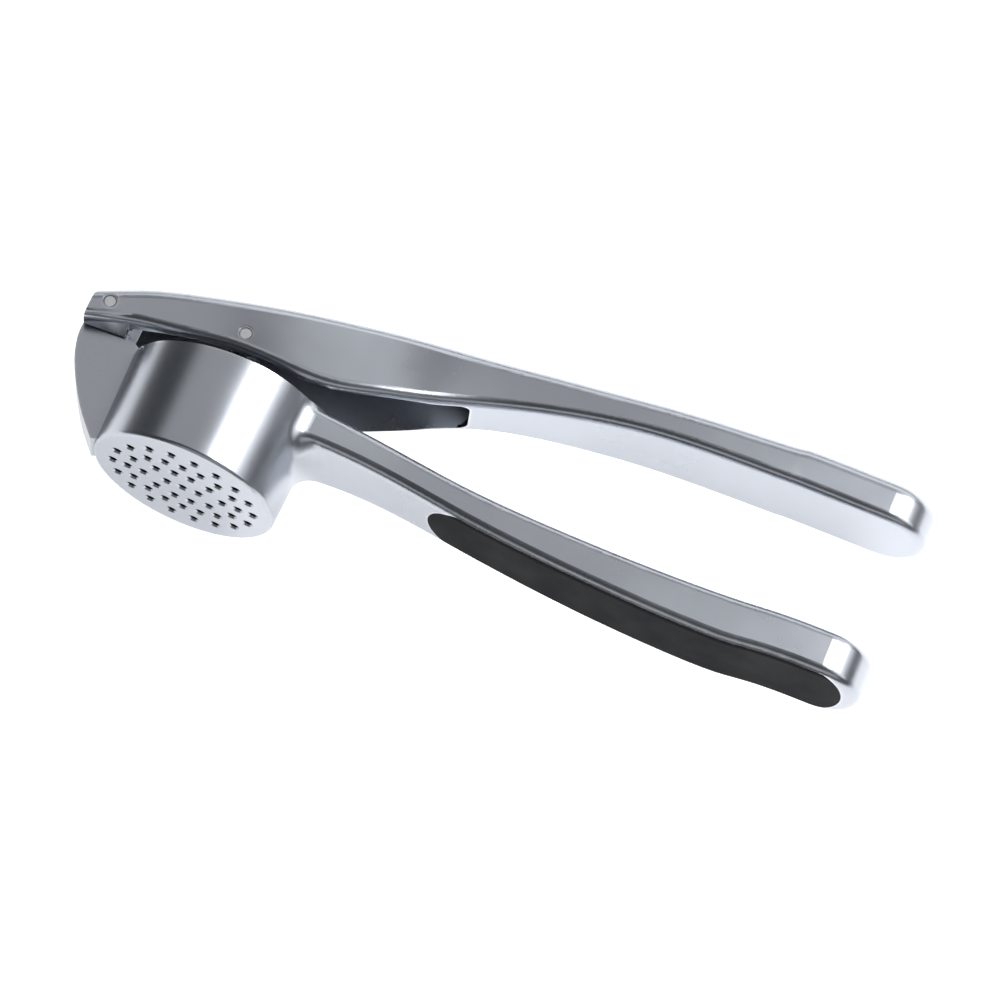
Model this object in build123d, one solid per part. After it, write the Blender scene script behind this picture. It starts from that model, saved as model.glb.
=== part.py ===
"""Garlic press lying on its side: two die-cast handles, a swinging plunger, two pins and a soft grip.

Everything is built in the pivot frame and moved once at the end:
  origin on the axis of the hinge pin, +X along the handles, +Y out of the cup's mouth, +Z along the pins.
The finished parts stand on Z = 0, with the origin under the middle of the whole press.
"""
import os
from math import atan2, cos, hypot, pi, radians, sin, tan

from build123d import *

# ---- overall sizes (mm) --------------------------------------------------------------------
handle_reach = 174.0          # hinge axis to the tip of the upper handle
handle_stagger = 1.2          # how much shorter the lower handle is
cup_radius = 20.0             # outside, at the perforated floor
cup_height = 22.9             # floor to rim, on the cup's axis

# ---- cup -----------------------------------------------------------------------------------
hinge_to_cup = 8.8            # hinge axis to the cup's outside at the floor
cup_mouth_y = -5.8            # rim, on the cup's axis
cup_draft = 2.0               # degrees, the outside opens towards the mouth
cup_wall = 2.5                # at the floor
bore_draft = 1.5              # degrees, the inside opens towards the mouth
rim_tilt = 3.0                # degrees, the rim rises towards the handles
floor_thickness = 2.5

# ---- perforations: count, half length and half width of each ring, as shares of the bore ----
hole_radius = 0.95
hole_countersink = 0.35
floor_edge_round = 0.9        # outer edge of the perforated floor
hole_rings = [(18, 0.89, 0.82), (16, 0.70, 0.57), (10, 0.50, 0.33)]
centre_hole_share = 0.2       # pitch of the three holes in the middle, as a share of the bore

# ---- web and hinge lug ---------------------------------------------------------------------
web_thickness = 9.0
lug_radius = 3.3
lug_side_clearance = 0.3

# ---- pins ----------------------------------------------------------------------------------
pin_radius = 1.4
pin_running_clearance = 0.05
pin_recess = 0.35             # pin ends below the castings' sides
pin_chamfer = 0.25
pin_seat_flare = 0.3          # the seat is this much wider than the pin where the pin ends
plunger_pin_y = 3.79
plunger_pin_set_back = 0.1    # towards the hinge, from the cup's axis

# ---- plunger -------------------------------------------------------------------------------
disc_clearance = 1.4          # to the bore at the floor, room for the tilt on the way in
disc_thickness = 4.0
disc_edge_round = 1.4
disc_floor_gap = 3.4          # disc to floor in the pose drawn
plunger_tilt = -0.5           # degrees, about its pin, in the pose drawn
fin_thickness = 5.0
fin_foot_share = 0.78         # foot of the fin against the disc's width
brace_thickness = 4.0
brace_foot_share = 0.62       # foot of the cross brace against the disc's width
boss_wall = 1.7               # metal round the pin
boss_side_clearance = 0.35

# ---- channel under the upper handle's head -------------------------------------------------
nose_reach = 3.8              # hinge axis to the front of the head
roof_thickness = 2.3
wall_top = 3.0
wall_bottom = 2.0
channel_front_x = 6.0
channel_end_share = 2.66      # end of the channel, in distances from hinge to cup axis
channel_corner_round = 2.0
nose_round = 3.2
chin_nose = (0.7, 0.1)        # rise of the ears' outer edge and drop of their inner edge, at the nose
chin_rear = (1.3, 1.9)        # the same where the ears meet the channel

# ---- grip insert ---------------------------------------------------------------------------
grip_start_share = 0.25       # along the lower handle, from the cup to its rounded end
grip_end_margin = 3.6         # metal left at the handle's tip
grip_thickness = 1.8
grip_lip = 1.0                # metal left beside the insert
grip_gap = 0.12
peg_radius = 1.6
peg_length = 1.6
peg_shares = [0.43, 0.86]

# ---- rounding of the castings' long edges --------------------------------------------------
upper_top_round = 3.2
upper_bottom_round = 1.8
lower_round = 2.0
neck_flare_radius = 6.0       # where the neck grows out of the cup

# ---- sizes that follow from those above ----------------------------------------------------
cup_axis_x = hinge_to_cup + cup_radius
cup_floor_y = cup_mouth_y - cup_height
floor_top_y = cup_floor_y + floor_thickness
bore_radius = cup_radius - cup_wall
disc_radius = bore_radius - disc_clearance
plunger_pin_x = cup_axis_x - plunger_pin_set_back
plunger_length = plunger_pin_y - floor_top_y - disc_floor_gap
boss_radius = pin_radius + boss_wall
slot_width = web_thickness + 2 * lug_side_clearance
channel_end_x = channel_end_share * cup_axis_x
lower_reach = handle_reach - handle_stagger
cup_rear_x = cup_axis_x + cup_radius
through = 80.0                # length of a cutter that has to pass right through

# Sections of the castings: place, top, bottom, width at the top, width at the bottom. The place
# is in distances from the hinge to the cup's axis on the head and the neck, and a share of the
# stretch up to the rounded end on the handles.
head_sections = [
    (-nose_reach / cup_axis_x, 2.2, -5.0, 18.2, 18.4),
    (0.24, 6.7, -2.5, 19.0, 19.6),
    (0.59, 9.5, -1.3, 20.0, 21.4),
    (0.97, 12.3, -0.3, 19.6, 23.4),
    (1.39, 15.4, -0.8, 17.2, 25.0),
    (1.70, 17.4, -0.5, 15.2, 24.4),
    (2.01, 19.2, 2.2, 13.6, 22.2),
    (2.33, 20.7, 5.7, 12.4, 17.8),
    (channel_end_share, 21.9, 9.5, 12.2, 14.6),
]
upper_sections = [
    (0.15, 23.2, 13.4, 14.2, 15.6),
    (0.31, 24.4, 16.2, 16.8, 18.2),
    (0.51, 26.1, 18.1, 18.8, 19.8),
    (0.75, 27.7, 18.8, 19.4, 20.0),
]
upper_end = (28.3, 19.0, 19.6)        # top, bottom, width
neck_sections = [
    (1.53, -5.0, -13.3, 22.6, 22.0),
    (1.87, -5.4, -13.0, 20.2, 19.8),
    (2.29, -6.4, -13.5, 18.2, 18.0),
]
lower_sections = [
    (0.31, -8.3, -15.8, 17.2, 17.2),
    (0.48, -9.4, -17.9, 18.0, 18.2),
    (0.66, -9.7, -19.2, 18.9, 19.1),
    (0.83, -9.1, -19.3, 19.4, 19.4),
]
lower_end = (-8.2, -18.1, 19.4)
handle_stretch = lower_reach - lower_end[2] / 2 - cup_rear_x

# Front edge of the web: x, and the depth as a share of the way down to the floor's outer face.
web_front = [(-4.0, 0.19), (-3.1, 0.38), (-0.6, 0.57), (3.0, 0.77), (8.0, 0.975)]
web_inside_cup = 5.0          # how far the web runs on into the cup's wall
web_top_drop = 2.6            # the web's top edge below the rim, at the cup


# ---- shared shapes -------------------------------------------------------------------------
def along_y(x, y):
    """Plane that faces +Y, with its own x axis along +X."""
    return Plane(origin=(x, y, 0), x_dir=(1, 0, 0), z_dir=(0, 1, 0))


def across_x(x):
    """Plane across the handles, with Z to the right and Y up."""
    return Plane(origin=(x, 0, 0), x_dir=(0, 0, 1), z_dir=(-1, 0, 0))


def placed(sections, start, length):
    """The same sections with their places worked out in millimetres."""
    return [(start + each[0] * length, *each[1:]) for each in sections]


def corner_line(sections, level, side):
    """Curve through one corner of every section, level with X at its far end."""
    points = []
    for x, top, bottom, width_top, width_bottom in sections:
        if level == "top":
            points.append(Vector(x, top, side * width_top / 2))
        else:
            points.append(Vector(x, bottom, side * width_bottom / 2))
    start = (points[1] - points[0]).normalized()
    return Spline(*points, tangents=[start, (1, 0, 0)])


def plain_bar(sections):
    """Solid between four corner curves, with flat ends."""
    lines = [
        corner_line(sections, "top", 1),
        corner_line(sections, "top", -1),
        corner_line(sections, "bottom", -1),
        corner_line(sections, "bottom", 1),
    ]
    around = list(zip(lines, lines[1:] + lines[:1]))
    faces = [Face.make_surface_from_curves(one, other) for one, other in around]
    for end in (0, 1):
        corners = [line @ end for line in lines]
        faces.append(Face(Wire(Polyline(*corners, close=True).edges())))
    return Part(Solid(Shell(faces)).wrapped)


def height_at(sections, level, x):
    """Height of a bar's top or bottom at x, by straight steps between its sections."""
    column = 1 if level == "top" else 2
    for before, after in zip(sections, sections[1:]):
        if x <= after[0]:
            break
    share = min(1.0, (x - before[0]) / (after[0] - before[0]))
    return before[column] + share * (after[column] - before[column])


def long_edges(bar, sections, level):
    """Edges that run along a bar, and round its end, at its top or its bottom."""
    found = []
    for edge in bar.edges():
        middle = edge @ 0.5
        across = edge.geom_type == GeomType.LINE and abs((edge @ 0).X - (edge @ 1).X) < 0.01
        off = abs(middle.Y - height_at(sections, level, middle.X))
        if not across and off < 1.0 and middle.X > sections[0][0]:
            found.append(edge)
    return found


def handle_bar(sections, reach, end, round_top, round_bottom):
    """A handle with a half-round end and rounded long edges."""
    top, bottom, width = end
    end_x = reach - width / 2
    sections = sections + [(end_x, top, bottom, width, width)]
    drum = disc_y(end_x, bottom, width / 2, top - bottom, width / 2)
    bar = plain_bar(sections) + (drum & Pos(end_x + width, 0, 0) * Box(2 * width, through, 2 * width))
    bar = fillet(long_edges(bar, sections, "top"), round_top)
    return fillet(long_edges(bar, sections, "bottom"), round_bottom)


def disc_y(x, y, radius, height, top_radius):
    """Round, tapered disc that stands along +Y on the point (x, y, 0)."""
    return loft([along_y(x, y) * Circle(radius), along_y(x, y + height) * Circle(top_radius)])


def bar_z(x, y, radius, length):
    """Round bar along Z, centred on the middle plane."""
    return Pos(x, y, 0) * Cylinder(radius, length)


# ---- lower casting -------------------------------------------------------------------------
def lower_bar():
    """Neck and lower handle, without the recess for the grip."""
    neck = placed(neck_sections, 0.0, cup_axis_x)
    plain = placed(lower_sections, cup_rear_x, handle_stretch)
    return handle_bar(neck + plain, lower_reach, lower_end, lower_round, lower_round)


def ring_places(count, half_length, half_width):
    """Evenly turned places on an ellipse."""
    places = []
    for step in range(count):
        turn = 2 * pi * step / count
        reach = half_length * half_width / hypot(half_width * cos(turn), half_length * sin(turn))
        places.append((reach * cos(turn), reach * sin(turn)))
    return places


def perforations():
    """Cutters for the holes in the cup's floor, each with its countersink outside."""
    pitch = centre_hole_share * bore_radius
    places = [(-pitch, 0.0), (0.0, 0.0), (pitch, 0.0)]
    for count, length_share, width_share in hole_rings:
        places += ring_places(count, length_share * bore_radius, width_share * bore_radius)
    end = floor_thickness + hole_countersink
    profile = Polygon(
        (0.0, -hole_countersink),
        (hole_radius + 2 * hole_countersink, -hole_countersink),
        (hole_radius, hole_countersink),
        (hole_radius, end),
        (0.0, end),
        align=None,
    )
    cutter = revolve(profile, Axis.Y)
    return [Pos(cup_axis_x + x, cup_floor_y, z) * cutter for x, z in places]


def cup_floor():
    """Perforated floor, a little wider than the bore so that it joins the wall."""
    radius = bore_radius + cup_wall / 2
    return disc_y(cup_axis_x, cup_floor_y, radius, floor_thickness, radius) - perforations()


def cup_blank():
    """Outside of the cup, solid, higher than the rim that is cut later."""
    height = cup_height + 3.0
    wide = cup_radius + height * tan(radians(cup_draft))
    blank = disc_y(cup_axis_x, cup_floor_y, cup_radius, height, wide)
    floor_edge = blank.edges().filter_by(GeomType.CIRCLE).sort_by(Axis.Y)[0]
    return fillet(floor_edge, floor_edge_round)


def cup_bore():
    """Inside of the cup, right through it."""
    height = cup_height + 5.0
    narrow = bore_radius - floor_thickness * tan(radians(bore_draft))
    wide = narrow + height * tan(radians(bore_draft))
    return disc_y(cup_axis_x, cup_floor_y, narrow, height, wide)


def above_rim():
    """Everything over the tilted rim."""
    slab = Pos(0, cup_height / 2, 0) * Box(2 * through, cup_height, through)
    return Pos(cup_axis_x, cup_mouth_y, 0) * Rot(0, 0, rim_tilt) * slab


def web():
    """Plate between the lug and the cup, with the lug round the hinge pin."""
    front_points = [(x, share * cup_floor_y) for x, share in web_front]
    rear_x = hinge_to_cup + web_inside_cup
    rear_top = cup_mouth_y - web_top_drop
    lug_side_y = -0.7 * lug_radius
    front = Spline((-lug_radius, 0.0), *front_points, tangents=[(0, -1), (1, -1.1)])
    foot = Line(front_points[-1], (rear_x, floor_top_y))
    rear = Line((rear_x, floor_top_y), (rear_x, rear_top))
    top = Line((rear_x, rear_top), (lug_radius, lug_side_y))
    lug_side = Line((lug_radius, lug_side_y), (lug_radius, 0.0))
    lug = RadiusArc((lug_radius, 0.0), (-lug_radius, 0.0), -lug_radius)
    outline = make_face([front, foot, rear, top, lug_side, lug])
    return extrude(outline, web_thickness / 2, both=True)


def neck_joint(body):
    """Edges where the neck grows out of the cup's wall."""
    found = []
    for edge in body.edges():
        middle = edge @ 0.5
        off_cup = hypot(middle.X - cup_axis_x, middle.Z) - cup_radius
        if middle.X > cup_axis_x and 0.0 < off_cup < 1.5 and cup_floor_y < middle.Y < cup_mouth_y - 1.5:
            found.append(edge)
    return found


def lower_body(bar):
    """Cup, web, neck and lower handle in one casting."""
    body = cup_blank() + bar
    body = fillet(neck_joint(body), neck_flare_radius)
    body -= above_rim()
    body += web()
    body -= cup_bore()
    body += cup_floor()
    body -= bar_z(0, 0, pin_radius + pin_running_clearance, through)
    return body - grip_recess()


# ---- grip insert ---------------------------------------------------------------------------
def grip_plan(inset):
    """Tongue-shaped outline seen from below, smaller by the inset all round."""
    start = cup_rear_x + grip_start_share * handle_stretch + inset
    end = lower_reach - grip_end_margin - inset
    sides = [(x, width / 2) for x, _, _, _, width in placed(lower_sections, cup_rear_x, handle_stretch)]
    sides.append((cup_rear_x + handle_stretch, lower_end[2] / 2))
    points = [(x, half - grip_lip - inset) for x, half in sides]
    front_x, front_half = points[0]
    rear_x, rear_half = points[-1]
    near = [
        EllipticalCenterArc((front_x, 0), front_x - start, front_half, 90, arc_size=90),
        Spline(*points, tangents=[(1, 0), (1, 0)]),
        EllipticalCenterArc((rear_x, 0), end - rear_x, rear_half, 0, arc_size=90),
    ]
    far = [mirror(edge, Plane.XZ) for edge in near]
    return make_face(near + far)


def grip_depth():
    """Everything below the insert's back, seen from the side, as a bar along Z."""
    neck = placed(neck_sections[-1:], 0.0, cup_axis_x)
    sections = neck + placed(lower_sections, cup_rear_x, handle_stretch)
    points = [(x, bottom + grip_thickness) for x, _, bottom, _, _ in sections]
    points.append((cup_rear_x + handle_stretch, lower_end[1] + grip_thickness))
    last = (lower_reach, lower_end[1] + grip_thickness)
    low = cup_floor_y
    outline = make_face([
        Spline(*points, tangents=[(1, -0.02), (1, 0)]),
        Line(points[-1], last),
        Line(last, (last[0], low)),
        Line((last[0], low), (points[0][0], low)),
        Line((points[0][0], low), points[0]),
    ])
    return extrude(outline, through / 2, both=True)


def grip_prism(inset):
    """Tongue seen from below, as deep as the insert's back."""
    plan = Plane(origin=(0, 0, 0), x_dir=(1, 0, 0), z_dir=(0, -1, 0)) * grip_plan(inset)
    return extrude(plan, through / 2, both=True) & grip_depth()


def grip_pegs(extra):
    """Pegs on the insert's back, or their holes with some room to spare."""
    sections = placed(lower_sections, cup_rear_x, handle_stretch)
    pegs = []
    for share in peg_shares:
        x = cup_rear_x + share * handle_stretch
        base = height_at(sections, "bottom", x) + grip_thickness / 2
        height = grip_thickness / 2 + peg_length + extra
        pegs.append(disc_y(x, base, peg_radius + extra, height, peg_radius + extra))
    return pegs


def grip_recess():
    """Cutter for the insert's pocket and its two peg holes."""
    return grip_prism(0.0) + grip_pegs(grip_gap)


def grip_insert(bar):
    """Soft insert, flush with the handle's outer face, with two pegs on its back."""
    return (bar & grip_prism(grip_gap)) + grip_pegs(0.0)


# ---- upper casting -------------------------------------------------------------------------
def upper_bar():
    """Head and upper handle, solid."""
    stretch = handle_reach - upper_end[2] / 2 - channel_end_x
    head = placed(head_sections, 0.0, cup_axis_x)
    plain = placed(upper_sections, channel_end_x, stretch)
    return handle_bar(head + plain, handle_reach, upper_end, upper_top_round, upper_bottom_round)


def channel_sections():
    """Sections of the hollow, carried on past the walls' lower edges."""
    below = 6.0
    sections = []
    for x, top, bottom, width_top, width_bottom in placed(head_sections[2:], 0.0, cup_axis_x):
        roof = top - roof_thickness
        inner_top = width_top - 2 * wall_top
        inner_bottom = width_bottom - 2 * wall_bottom
        spread = (inner_bottom - inner_top) / (roof - bottom)
        sections.append((x, roof, bottom - below, inner_top, inner_bottom + spread * below))
    return sections


def channel_corner(side):
    """Metal left in the channel's rear corner to round it, seen from below."""
    half = head_sections[-1][4] / 2 - wall_bottom
    radius = channel_corner_round
    block = Pos(channel_end_x - radius / 2, 0, side * (half - radius / 2)) * Box(radius, through, radius)
    centre = Plane(origin=(channel_end_x - radius, -through / 2, side * (half - radius)), z_dir=(0, 1, 0))
    return block - extrude(centre * Circle(radius), through)


def channel():
    """Hollow under the head, open below."""
    sections = channel_sections()
    _, roof, lowest, _, _ = sections[0]
    front = (channel_front_x, roof - 2.9, lowest, slot_width + 1.2, slot_width + 2.4)
    return plain_bar([front] + sections) - [channel_corner(-1), channel_corner(1)]


def nose_corner():
    """Corner taken off the top of the head's front to round it."""
    first, second = placed(head_sections[:2], 0.0, cup_axis_x)
    slope = atan2(second[1] - first[1], second[0] - first[0])
    x = nose_round - nose_reach
    y = first[1] + nose_round * tan(slope) - nose_round / cos(slope)
    clear = 2 * nose_round
    outline = Polygon(
        (-nose_reach - clear, y),
        (x, y),
        (x - nose_round * sin(slope), y + nose_round * cos(slope)),
        (x - nose_round * sin(slope), y + clear),
        (-nose_reach - clear, y + clear),
        align=None,
    )
    return extrude(outline, through / 2, both=True) - bar_z(x, y, nose_round, through)


def chins():
    """Wedges that let the ears' inner edges hang lower, one on each side of the lug."""
    wedges = []
    inner = slot_width / 2
    first, second = placed(head_sections[:2], 0.0, cup_axis_x)
    rear_x = channel_front_x - 0.6
    ends = ((first[0], first[2], first[4], chin_nose), (rear_x, second[2] - 0.2, second[4], chin_rear))
    for side in (-1, 1):
        faces = []
        for x, bottom, width, (rise, drop) in ends:
            outer = width / 2 - 0.15
            outline = Polygon(
                (side * inner, bottom + 2.4),
                (side * outer, bottom + 2.4),
                (side * outer, bottom + rise),
                (side * (inner + 0.4), bottom - drop),
                (side * inner, bottom - drop),
                align=None,
            )
            faces.append(across_x(x) * outline)
        wedges.append(loft(faces))
    return wedges


def pin_seats(x, y, half_length):
    """Hole for a pin right through both walls, flared outside the pin's ends."""
    seats = [bar_z(x, y, pin_radius, through)]
    flare = pin_radius + pin_seat_flare
    for side in (-1, 1):
        seats.append(Pos(x, y, side * (half_length + through / 2)) * Cylinder(flare, through))
    return seats


def side_at(x, y):
    """Half width of the head at a place between two of its sections."""
    sections = placed(head_sections, 0.0, cup_axis_x)
    for before, after in zip(sections, sections[1:]):
        if x <= after[0]:
            break
    share = (x - before[0]) / (after[0] - before[0])
    top, bottom, wide_top, wide_bottom = [a + share * (b - a) for a, b in zip(before[1:], after[1:])]
    down = (top - y) / (top - bottom)
    return (wide_top + down * (wide_bottom - wide_top)) / 2


hinge_pin_half = side_at(0.0, 0.0) - pin_recess
plunger_pin_half = side_at(plunger_pin_x, plunger_pin_y) - pin_recess


def upper_handle():
    """Head with its ears and channel, and the upper handle, in one casting."""
    body = upper_bar() - channel()
    body += chins()
    body -= nose_corner()
    slot_length = channel_front_x + 0.6 + nose_reach + 2.0
    slot_middle = channel_front_x + 0.6 - slot_length / 2
    body -= Pos(slot_middle, 0, 0) * Box(slot_length, through, slot_width)
    body -= pin_seats(0, 0, hinge_pin_half)
    body -= pin_seats(plunger_pin_x, plunger_pin_y, plunger_pin_half)
    return body


# ---- plunger and pins ----------------------------------------------------------------------
def fin(foot, thickness, top_half, side_plane):
    """Rib from the boss down to the disc, wider at its foot."""
    foot_y = -(plunger_length - disc_thickness / 2)
    outline = Polygon(
        (-top_half, 0.0),
        (top_half, 0.0),
        (foot / 2, foot_y),
        (-foot / 2, foot_y),
        align=None,
    )
    return extrude(side_plane * outline, thickness / 2, both=True)


def plunger():
    """Pressing disc with its fin, cross brace and boss, hung on the plunger pin."""
    disc = disc_y(0, -plunger_length, disc_radius, disc_thickness, disc_radius)
    rims = disc.edges().filter_by(GeomType.CIRCLE)
    disc = fillet(rims, disc_edge_round)
    boss_length = head_sections[3][3] - 2 * wall_top - 2 * boss_side_clearance
    body = disc + fin(fin_foot_share * 2 * disc_radius, fin_thickness, boss_radius - 0.2, Plane.XY)
    body += fin(brace_foot_share * 2 * disc_radius, brace_thickness, boss_length / 2 - 1.0, across_x(0))
    body += bar_z(0, 0, boss_radius, boss_length)
    body -= bar_z(0, 0, pin_radius + pin_running_clearance, through)
    return Pos(plunger_pin_x, plunger_pin_y, 0) * Rot(0, 0, plunger_tilt) * body


def pin(x, y, half_length):
    """Plain pin with chamfered ends."""
    bar = Cylinder(pin_radius, 2 * half_length)
    return Pos(x, y, 0) * chamfer(bar.edges().filter_by(GeomType.CIRCLE), pin_chamfer)


# ---- the whole press -----------------------------------------------------------------------
lower = lower_bar()
pieces = {
    "lower_body": lower_body(lower),
    "grip_insert": grip_insert(lower),
    "upper_handle": upper_handle(),
    "plunger": plunger(),
    "hinge_pin": pin(0, 0, hinge_pin_half),
    "plunger_pin": pin(plunger_pin_x, plunger_pin_y, plunger_pin_half),
}

points = [point for piece in pieces.values() for point in piece.tessellate(0.05, 0.3)[0]]
middle_x = (min(point.X for point in points) + max(point.X for point in points)) / 2
middle_y = (min(point.Y for point in points) + max(point.Y for point in points)) / 2
lowest_z = min(point.Z for point in points)
to_rest = Pos(-middle_x, -middle_y, -lowest_z)

os.makedirs("parts", exist_ok=True)
for name, piece in pieces.items():
    export_step(to_rest * piece, f"parts/{name}.step")

print("hinge axis at", -middle_x, -middle_y, "middle plane at", -lowest_z)
print("plunger axis at", plunger_pin_x - middle_x, plunger_pin_y - middle_y)
print("plunger length", plunger_length)
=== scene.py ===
"""Looks of a garlic press that lies on its side: satin castings, polished pins and a soft grip."""

from math import radians

import bpy
from mathutils import Matrix, Quaternion, Vector

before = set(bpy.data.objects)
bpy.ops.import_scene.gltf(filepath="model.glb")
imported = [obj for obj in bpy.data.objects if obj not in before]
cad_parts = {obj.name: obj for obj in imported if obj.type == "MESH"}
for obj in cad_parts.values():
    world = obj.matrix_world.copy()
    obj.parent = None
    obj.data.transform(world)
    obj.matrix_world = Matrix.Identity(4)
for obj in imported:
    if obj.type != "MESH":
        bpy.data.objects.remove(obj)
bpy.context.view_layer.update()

bl_info = {
    "name": "Garlic Press Finish",
    "version": (1, 0, 0),
    "blender": (4, 5, 0),
    "location": "View3D > Sidebar > Garlic Press",
    "description": "Finishes the castings, pins and grip of a garlic press and lights them",
    "category": "Material",
}

casting_nodes = {
    "lower_body": "LowerCasting",
    "upper_handle": "UpperCasting",
}
pin_nodes = ("hinge_pin", "plunger_pin")

# Lengths are in metres. A share is a part of the finish's own colour.
casting_mottle_size = 0.025
casting_mottle_share = 0.93
# Painted shade: hollows are darkened to this share of the metal colour.
casting_painted_shade_share = 0.03
casting_satin_spread = 0.05
worn_polish = -0.08
# The plunger's metal is darkened as painted shade.
plunger_painted_shade_share = 0.8

pin_grain_size = 0.0006
pin_grain_height = 0.000004
pin_mottle_size = 0.003
pin_mottle_share = 0.85
pin_polish_spread = 0.08

rubber_mottle_size = 0.012
rubber_bloom_share = 0.3
rubber_smoother = -0.05
rubber_rougher = 0.1
stipple_height = 0.00002

wear_patch_scale = 260.0

floor_half = 6.0
floor_drop = 0.0005
floor_roughness = 0.9
pool_fade = 3.0
pool_outer_share = 0.12
surround_colour = (0.9, 0.95, 1.0)

# Name, place, point it faces, width, height and the setting that holds its power.
press_middle = (0.0, 0.0, 0.02)
cup_middle = (-0.056, 0.0, 0.04)
soft_boxes = (
    ("back_box", (0.1, 0.95, 0.45), press_middle, 1.6, 0.5, "back_energy"),
    ("front_box", (0.2, -0.75, 0.6), press_middle, 1.2, 0.4, "front_energy"),
    ("cup_box", (0.32, 0.22, 0.50), cup_middle, 0.14, 0.3, "cup_energy"),
    ("top_box", (-0.05, 0.34, 0.7), press_middle, 1.2, 0.4, "top_energy"),
    ("right_box", (0.7, 0.1, 0.6), press_middle, 0.5, 0.5, "side_energy"),
)


# ---- sizes and colours a user would change -----------------------------------------------------
class CastingSettings(bpy.types.PropertyGroup):
    """Satin die-cast metal of the two handles and the plunger."""

    colour: bpy.props.FloatVectorProperty(
        name="Metal", description="Colour of the bare casting", subtype="COLOR",
        size=3, min=0.0, max=1.0, default=(0.50, 0.525, 0.575))
    worn_colour: bpy.props.FloatVectorProperty(
        name="Edge", description="Colour where edges are burnished", subtype="COLOR",
        size=3, min=0.0, max=1.0, default=(0.72, 0.73, 0.76))
    roughness: bpy.props.FloatProperty(
        name="Satin", description="Roughness of the blasted skin", default=0.27, min=0.02,
        max=1.0)
    grain_size: bpy.props.FloatProperty(
        name="Grain", description="Size of one blasting mark", default=0.00035, min=0.0001,
        max=0.01, unit="LENGTH", precision=5)
    grain_height: bpy.props.FloatProperty(
        name="Grain height", description="Depth of the blasting marks", default=0.000003,
        min=0.0, max=0.001, unit="LENGTH", precision=6)


class PinSettings(bpy.types.PropertyGroup):
    """Polished steel of the two pins."""

    colour: bpy.props.FloatVectorProperty(
        name="Steel", description="Colour of the polished pins", subtype="COLOR",
        size=3, min=0.0, max=1.0, default=(0.82, 0.83, 0.85))
    roughness: bpy.props.FloatProperty(
        name="Polish", description="Roughness of the pins' ends", default=0.28, min=0.02, max=1.0)


class GripSettings(bpy.types.PropertyGroup):
    """Matte rubber of the insert."""

    colour: bpy.props.FloatVectorProperty(
        name="Rubber", description="Colour of the insert", subtype="COLOR",
        size=3, min=0.0, max=1.0, default=(0.006, 0.0065, 0.008))
    dust_colour: bpy.props.FloatVectorProperty(
        name="Bloom", description="Colour of the pale bloom on the rubber", subtype="COLOR",
        size=3, min=0.0, max=1.0, default=(0.022, 0.024, 0.028))
    roughness: bpy.props.FloatProperty(
        name="Matte", description="Roughness of the rubber", default=0.55, min=0.02, max=1.0)
    stipple_size: bpy.props.FloatProperty(
        name="Stipple", description="Size of the moulded stipple", default=0.0005,
        min=0.0001, max=0.01, unit="LENGTH", precision=5)


class StageSettings(bpy.types.PropertyGroup):
    """Floor, lights and camera."""

    floor_colour: bpy.props.FloatVectorProperty(
        name="Floor", description="Colour of the floor", subtype="COLOR",
        size=3, min=0.0, max=1.0, default=(0.95, 0.95, 0.95))
    floor_glow: bpy.props.FloatProperty(
        name="Floor glow", description="Light the floor gives off round the press to stay pale",
        default=0.85, min=0.0, max=4.0)
    pool_radius: bpy.props.FloatProperty(
        name="Pool", description="Radius of the pool of light on the floor", default=0.34, min=0.05,
        max=5.0, unit="LENGTH")
    surround: bpy.props.FloatProperty(
        name="Surround", description="Strength of the even light all round", default=0.07,
        min=0.0, max=4.0)
    back_energy: bpy.props.FloatProperty(
        name="Back box", description="Power of the wide soft box behind", default=3.4, min=0.0,
        max=500.0, unit="POWER")
    front_energy: bpy.props.FloatProperty(
        name="Front box", description="Power of the soft box in front", default=0.9, min=0.0,
        max=500.0, unit="POWER")
    cup_energy: bpy.props.FloatProperty(
        name="Cup box", description="Power of the small soft box that lights the cup", default=2.0,
        min=0.0, max=500.0, unit="POWER")
    top_energy: bpy.props.FloatProperty(
        name="Top box", description="Power of the broad soft box overhead", default=0.8, min=0.0,
        max=500.0, unit="POWER")
    side_energy: bpy.props.FloatProperty(
        name="Side box", description="Power of the soft box at the tips' side", default=1.1, min=0.0,
        max=500.0, unit="POWER")
    camera_place: bpy.props.FloatVectorProperty(
        name="Camera", description="Where the camera stands", subtype="TRANSLATION", unit="LENGTH",
        size=3, default=(0.06964, -0.31488, 0.75716))
    camera_aim: bpy.props.FloatVectorProperty(
        name="Aim", description="Point the camera looks at", subtype="TRANSLATION", unit="LENGTH",
        size=3, default=(0.00462, -0.00488, 0.02079))
    camera_roll: bpy.props.FloatProperty(
        name="Roll", description="Turn of the camera about its line of sight", subtype="ANGLE",
        default=radians(10.97), unit="ROTATION")
    focal_length: bpy.props.FloatProperty(
        name="Focal length", description="Focal length on a 36 mm sensor", default=140.26,
        min=10.0, max=500.0, unit="CAMERA")


# ---- shader groups shared by the finishes ------------------------------------------------------
def add_node(tree, kind, inputs=None, **options):
    """A node with its options and the values of its named inputs set."""
    node = tree.nodes.new(kind)
    for name, value in options.items():
        setattr(node, name, value)
    for name, value in (inputs or {}).items():
        node.inputs[name].default_value = value
    return node


def new_group(name, inputs, outputs):
    """Empty shader group with the named sockets; returns the tree and its two end nodes."""
    tree = bpy.data.node_groups.new(name, "ShaderNodeTree")
    for label, kind, value in inputs:
        socket = tree.interface.new_socket(label, in_out="INPUT", socket_type=kind)
        socket.default_value = value
    for label, kind in outputs:
        tree.interface.new_socket(label, in_out="OUTPUT", socket_type=kind)
    return tree, tree.nodes.new("NodeGroupInput"), tree.nodes.new("NodeGroupOutput")


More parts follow.
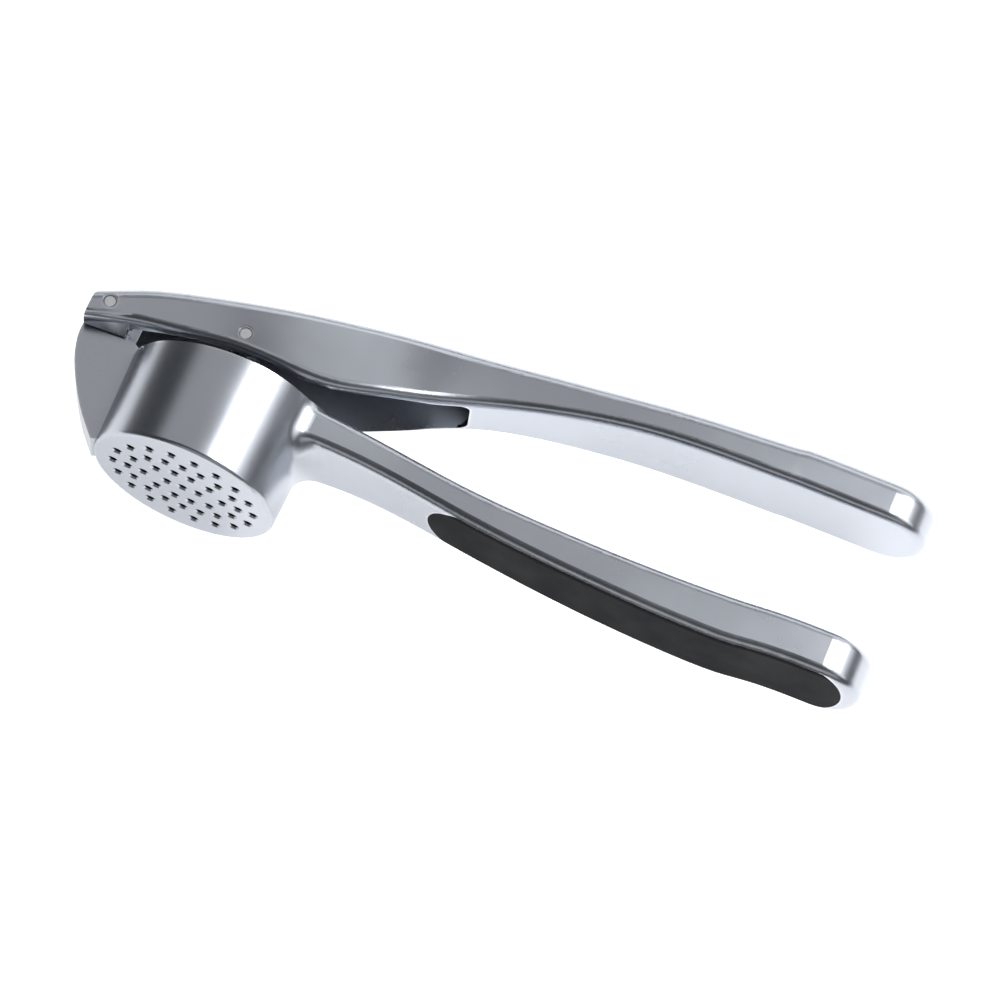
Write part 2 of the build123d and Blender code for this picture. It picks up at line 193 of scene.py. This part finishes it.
def fine_grain_group():
    """Fine speckle in the object's own space: a height, and a slow mottle mask."""
    tree, start, end = new_group(
        "FineGrain",
        [("Grain Size", "NodeSocketFloat", 0.0004), ("Mottle Size", "NodeSocketFloat", 0.02)],
        [("Height", "NodeSocketFloat"), ("Mottle", "NodeSocketFloat")],
    )
    link = tree.links.new
    place = add_node(tree, "ShaderNodeTexCoord")
    fine = add_node(tree, "ShaderNodeVectorMath", operation="DIVIDE")
    broad = add_node(tree, "ShaderNodeVectorMath", operation="DIVIDE")
    link(place.outputs["Object"], fine.inputs[0])
    link(start.outputs["Grain Size"], fine.inputs[1])
    link(place.outputs["Object"], broad.inputs[0])
    link(start.outputs["Mottle Size"], broad.inputs[1])
    grain = add_node(tree, "ShaderNodeTexNoise", {"Scale": 1.0, "Detail": 2.0, "Roughness": 0.6})
    mottle = add_node(tree, "ShaderNodeTexNoise", {"Scale": 1.0, "Detail": 4.0, "Roughness": 0.55})
    link(fine.outputs[0], grain.inputs["Vector"])
    link(broad.outputs[0], mottle.inputs["Vector"])
    spread = add_node(tree, "ShaderNodeMapRange", {"From Min": 0.35, "From Max": 0.65})
    link(mottle.outputs["Fac"], spread.inputs["Value"])
    link(grain.outputs["Fac"], end.inputs["Height"])
    link(spread.outputs[0], end.inputs["Mottle"])
    return tree


def edge_wear_and_shade_group():
    """Mask that is high along outward edges, broken up by noise, for edge wear, and a painted-shade
    mask that is high in hollows.
    """
    tree, start, end = new_group(
        "EdgeWear",
        [("Edge Width", "NodeSocketFloat", 0.0006), ("Hollow Depth", "NodeSocketFloat", 0.02)],
        [("Worn", "NodeSocketFloat"), ("Sheltered", "NodeSocketFloat")],
    )
    link = tree.links.new
    rim = add_node(tree, "ShaderNodeAmbientOcclusion", samples=4, inside=True, only_local=True)
    link(start.outputs["Edge Width"], rim.inputs["Distance"])
    worn = add_node(tree, "ShaderNodeMapRange", {"From Min": 0.85, "From Max": 0.45})
    link(rim.outputs["AO"], worn.inputs["Value"])
    place = add_node(tree, "ShaderNodeTexCoord")
    patches = add_node(tree, "ShaderNodeTexNoise", {"Scale": wear_patch_scale, "Detail": 3.0})
    link(place.outputs["Object"], patches.inputs["Vector"])
    broken = add_node(tree, "ShaderNodeMapRange",
                      {"From Min": 0.3, "From Max": 0.6, "To Min": 0.4, "To Max": 1.0})
    link(patches.outputs["Fac"], broken.inputs["Value"])
    both = add_node(tree, "ShaderNodeMath", operation="MULTIPLY")
    link(worn.outputs[0], both.inputs[0])
    link(broken.outputs[0], both.inputs[1])
    # Painted shade: occlusion over a few centimetres darkens hollows where shade falls.
    hollow = add_node(tree, "ShaderNodeAmbientOcclusion", samples=6, only_local=True)
    link(start.outputs["Hollow Depth"], hollow.inputs["Distance"])
    painted_shade_ramp = add_node(tree, "ShaderNodeMapRange", {"From Min": 0.6, "From Max": 0.22})
    link(hollow.outputs["AO"], painted_shade_ramp.inputs["Value"])
    link(both.outputs[0], end.inputs["Worn"])
    link(painted_shade_ramp.outputs[0], end.inputs["Sheltered"])
    return tree


def placed_group(tree, group, values=None):
    """A group node with the values of its inputs set."""
    node = tree.nodes.new("ShaderNodeGroup")
    node.node_tree = group
    for name, value in (values or {}).items():
        node.inputs[name].default_value = value
    return node


def new_finish(name):
    """Empty material with its Principled shader; returns the material, the tree and the shader."""
    material = bpy.data.materials.new(name)
    material.use_nodes = True
    tree = material.node_tree
    return material, tree, tree.nodes["Principled BSDF"]


def mix_colours(tree, mask, low, high):
    """Colour between low and high by a mask; low and high are colours or sockets."""
    mix = add_node(tree, "ShaderNodeMix", data_type="RGBA")
    tree.links.new(mask, mix.inputs["Factor"])
    for socket, value in ((mix.inputs[6], low), (mix.inputs[7], high)):
        if isinstance(value, bpy.types.NodeSocket):
            tree.links.new(value, socket)
        else:
            socket.default_value = (*value, 1.0)
    return mix.outputs[2]


def spread_value(tree, mask, low, high):
    """Number between low and high by a mask."""
    ramp = add_node(tree, "ShaderNodeMapRange", {"To Min": low, "To Max": high})
    tree.links.new(mask, ramp.inputs["Value"])
    return ramp.outputs[0]


def add_bump(tree, shader, height, distance, strength=1.0):
    """Bump from a height socket into the shader's normal."""
    bump = add_node(tree, "ShaderNodeBump", {"Distance": distance, "Strength": strength})
    tree.links.new(height, bump.inputs["Height"])
    tree.links.new(bump.outputs[0], shader.inputs["Normal"])


def shares_of(colour, share):
    """The colour with each channel scaled."""
    return tuple(channel * share for channel in colour)


def casting_finish(name, settings, grain, wear_and_shade, share=1.0):
    """Satin metal with fine blasting marks, slow mottle, burnished edges and painted shade that
    darkens corners and hollows.
    """
    material, tree, shader = new_finish(name)
    link = tree.links.new
    shader.inputs["Metallic"].default_value = 1.0
    marks = placed_group(tree, grain, {"Grain Size": settings.grain_size,
                                       "Mottle Size": casting_mottle_size})
    wear_and_shade_masks = placed_group(tree, wear_and_shade)
    # share darkens a copy of the metal, used as painted shade on the plunger.
    metal = shares_of(settings.colour, share)
    deeper = shares_of(metal, casting_mottle_share)
    # Painted shade: hollows darken towards near-black metal.
    painted_shade_colour = shares_of(metal, casting_painted_shade_share)
    body = mix_colours(tree, marks.outputs["Mottle"], deeper, metal)
    body = mix_colours(tree, wear_and_shade_masks.outputs["Sheltered"], body, painted_shade_colour)
    body = mix_colours(tree, wear_and_shade_masks.outputs["Worn"], body, settings.worn_colour)
    link(body, shader.inputs["Base Color"])
    satin = spread_value(tree, marks.outputs["Mottle"], settings.roughness,
                         settings.roughness + casting_satin_spread)
    rough = add_node(tree, "ShaderNodeMath", operation="MULTIPLY_ADD")
    link(wear_and_shade_masks.outputs["Worn"], rough.inputs[0])
    rough.inputs[1].default_value = worn_polish
    link(satin, rough.inputs[2])
    link(rough.outputs[0], shader.inputs["Roughness"])
    add_bump(tree, shader, marks.outputs["Height"], settings.grain_height)
    return material


def pin_finish(settings, grain):
    """Polished steel with faint turning marks."""
    material, tree, shader = new_finish("PolishedPin")
    shader.inputs["Metallic"].default_value = 1.0
    marks = placed_group(tree, grain, {"Grain Size": pin_grain_size,
                                       "Mottle Size": pin_mottle_size})
    deeper = shares_of(settings.colour, pin_mottle_share)
    body = mix_colours(tree, marks.outputs["Mottle"], deeper, settings.colour)
    tree.links.new(body, shader.inputs["Base Color"])
    polish = spread_value(tree, marks.outputs["Mottle"], settings.roughness,
                          settings.roughness + pin_polish_spread)
    tree.links.new(polish, shader.inputs["Roughness"])
    add_bump(tree, shader, marks.outputs["Height"], pin_grain_height)
    return material


def rubber_finish(settings, grain, wear_and_shade):
    """Matte rubber with a moulded stipple and a faint pale bloom."""
    material, tree, shader = new_finish("GripRubber")
    shader.inputs["Specular IOR Level"].default_value = 0.08
    marks = placed_group(tree, grain, {"Grain Size": settings.stipple_size,
                                       "Mottle Size": rubber_mottle_size})
    wear_and_shade_masks = placed_group(tree, wear_and_shade)
    plain = shares_of(settings.colour, 1.0 - rubber_bloom_share)
    bloom = shares_of(settings.dust_colour, rubber_bloom_share)
    paler = tuple(a + b for a, b in zip(plain, bloom))
    dusty = mix_colours(tree, marks.outputs["Mottle"], settings.colour, paler)
    body = mix_colours(tree, wear_and_shade_masks.outputs["Worn"], dusty, settings.dust_colour)
    tree.links.new(body, shader.inputs["Base Color"])
    matte = spread_value(tree, marks.outputs["Mottle"], settings.roughness + rubber_smoother,
                         settings.roughness + rubber_rougher)
    tree.links.new(matte, shader.inputs["Roughness"])
    add_bump(tree, shader, marks.outputs["Height"], stipple_height)
    return material


def shared_group(name, make):
    """The shader group of that name, made on first use."""
    return bpy.data.node_groups.get(name) or make()


def dress(node_name, material):
    """Gives a CAD node its finish."""
    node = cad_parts[node_name]
    node.data.materials.clear()
    node.data.materials.append(material)


# ---- operators ---------------------------------------------------------------------------------
class PRESS_OT_castings(bpy.types.Operator):
    """Finish both handle castings in satin metal"""

    bl_idname = "press.castings"
    bl_label = "Handle Castings"

    def execute(self, context):
        settings = context.scene.press_casting
        grain = shared_group("FineGrain", fine_grain_group)
        wear_and_shade = shared_group("EdgeWear", edge_wear_and_shade_group)
        for node_name, finish_name in casting_nodes.items():
            dress(node_name, casting_finish(finish_name, settings, grain, wear_and_shade))
        return {"FINISHED"}


class PRESS_OT_plunger(bpy.types.Operator):
    """Finish the plunger in casting metal darkened as painted shade"""

    bl_idname = "press.plunger"
    bl_label = "Plunger"

    def execute(self, context):
        settings = context.scene.press_casting
        grain = shared_group("FineGrain", fine_grain_group)
        wear_and_shade = shared_group("EdgeWear", edge_wear_and_shade_group)
        dress("plunger", casting_finish("PlungerCasting", settings, grain, wear_and_shade, plunger_painted_shade_share))
        return {"FINISHED"}


class PRESS_OT_pins(bpy.types.Operator):
    """Finish both pins in polished steel"""

    bl_idname = "press.pins"
    bl_label = "Pins"

    def execute(self, context):
        grain = shared_group("FineGrain", fine_grain_group)
        material = pin_finish(context.scene.press_pin, grain)
        for node_name in pin_nodes:
            dress(node_name, material)
        return {"FINISHED"}


class PRESS_OT_grip(bpy.types.Operator):
    """Finish the grip insert in matte rubber"""

    bl_idname = "press.grip"
    bl_label = "Grip Insert"

    def execute(self, context):
        grain = shared_group("FineGrain", fine_grain_group)
        wear_and_shade = shared_group("EdgeWear", edge_wear_and_shade_group)
        dress("grip_insert", rubber_finish(context.scene.press_grip, grain, wear_and_shade))
        return {"FINISHED"}


def add_softbox(name, place, aim, width, height, energy):
    """Rectangular area light that faces a point."""
    light = bpy.data.lights.new(name, "AREA")
    light.shape = "RECTANGLE"
    light.size = width
    light.size_y = height
    light.energy = energy
    lamp = bpy.data.objects.new(name, light)
    lamp.location = place
    lamp.rotation_euler = (Vector(aim) - Vector(place)).to_track_quat("-Z", "Y").to_euler()
    bpy.context.scene.collection.objects.link(lamp)


class PRESS_OT_stage(bpy.types.Operator):
    """Make the floor, the soft lights and the camera"""

    bl_idname = "press.stage"
    bl_label = "Stage"

    def execute(self, context):
        settings = context.scene.press_stage
        self.make_floor(context, settings)
        self.make_lights(context, settings)
        self.make_camera(context, settings)
        return {"FINISHED"}

    def make_floor(self, context, settings):
        material, tree, shader = new_finish("PaleFloor")
        shader.inputs["Base Color"].default_value = (*settings.floor_colour, 1.0)
        shader.inputs["Roughness"].default_value = floor_roughness
        shader.inputs["Emission Strength"].default_value = 1.0
        place = add_node(tree, "ShaderNodeTexCoord")
        away = add_node(tree, "ShaderNodeVectorMath", operation="LENGTH")
        pool = add_node(tree, "ShaderNodeMapRange", {
            "From Min": settings.pool_radius, "From Max": settings.pool_radius * pool_fade,
            "To Min": settings.floor_glow, "To Max": settings.floor_glow * pool_outer_share})
        pool.interpolation_type = "SMOOTHERSTEP"
        tree.links.new(place.outputs["Object"], away.inputs[0])
        tree.links.new(away.outputs["Value"], pool.inputs["Value"])
        tree.links.new(pool.outputs[0], shader.inputs["Emission Color"])
        corners = [(x * floor_half, y * floor_half, 0)
                   for x, y in ((-1, -1), (1, -1), (1, 1), (-1, 1))]
        mesh = bpy.data.meshes.new("floor")
        mesh.from_pydata(corners, [], [(0, 1, 2, 3)])
        mesh.materials.append(material)
        floor = bpy.data.objects.new("floor", mesh)
        floor.location.z = -floor_drop
        context.scene.collection.objects.link(floor)

    def make_lights(self, context, settings):
        world = bpy.data.worlds.new("Surround")
        world.use_nodes = True
        background = world.node_tree.nodes["Background"]
        background.inputs["Color"].default_value = (*surround_colour, 1.0)
        background.inputs["Strength"].default_value = settings.surround
        context.scene.world = world
        for name, place, aim, width, height, power in soft_boxes:
            add_softbox(name, place, aim, width, height, getattr(settings, power))

    def make_camera(self, context, settings):
        lens = bpy.data.cameras.new("camera")
        lens.sensor_width = 36.0
        lens.lens = settings.focal_length
        lens.clip_start = 0.05
        lens.clip_end = 30.0
        camera = bpy.data.objects.new("camera", lens)
        place = Vector(settings.camera_place)
        sight = Vector(settings.camera_aim) - place
        level = sight.to_track_quat("-Z", "Y")
        turned = level @ Quaternion((0, 0, 1), settings.camera_roll)
        camera.matrix_world = Matrix.Translation(place) @ turned.to_matrix().to_4x4()
        context.scene.collection.objects.link(camera)
        context.scene.camera = camera
        context.scene.view_settings.view_transform = "Standard"


class PRESS_PT_panel(bpy.types.Panel):
    """Sidebar panel that lists the finishes"""

    bl_idname = "PRESS_PT_panel"
    bl_label = "Garlic Press"
    bl_space_type = "VIEW_3D"
    bl_region_type = "UI"
    bl_category = "Garlic Press"

    def draw(self, context):
        for operator in operator_classes:
            self.layout.operator(operator.bl_idname)


setting_classes = {
    "press_casting": CastingSettings,
    "press_pin": PinSettings,
    "press_grip": GripSettings,
    "press_stage": StageSettings,
}
operator_classes = (
    PRESS_OT_castings,
    PRESS_OT_plunger,
    PRESS_OT_pins,
    PRESS_OT_grip,
    PRESS_OT_stage,
)


def register():
    """Registers the settings, the operators and the panel."""
    for name, kind in setting_classes.items():
        bpy.utils.register_class(kind)
        setattr(bpy.types.Scene, name, bpy.props.PointerProperty(type=kind))
    for kind in (*operator_classes, PRESS_PT_panel):
        bpy.utils.register_class(kind)


def unregister():
    """Takes everything away again, in reverse order."""
    for kind in reversed((*operator_classes, PRESS_PT_panel)):
        bpy.utils.unregister_class(kind)
    for name, kind in reversed(setting_classes.items()):
        delattr(bpy.types.Scene, name)
        bpy.utils.unregister_class(kind)


def main():
    """Makes the whole picture."""
    register()
    bpy.ops.press.castings()
    bpy.ops.press.plunger()
    bpy.ops.press.pins()
    bpy.ops.press.grip()
    bpy.ops.press.stage()


if __name__ == "__main__":
    main()
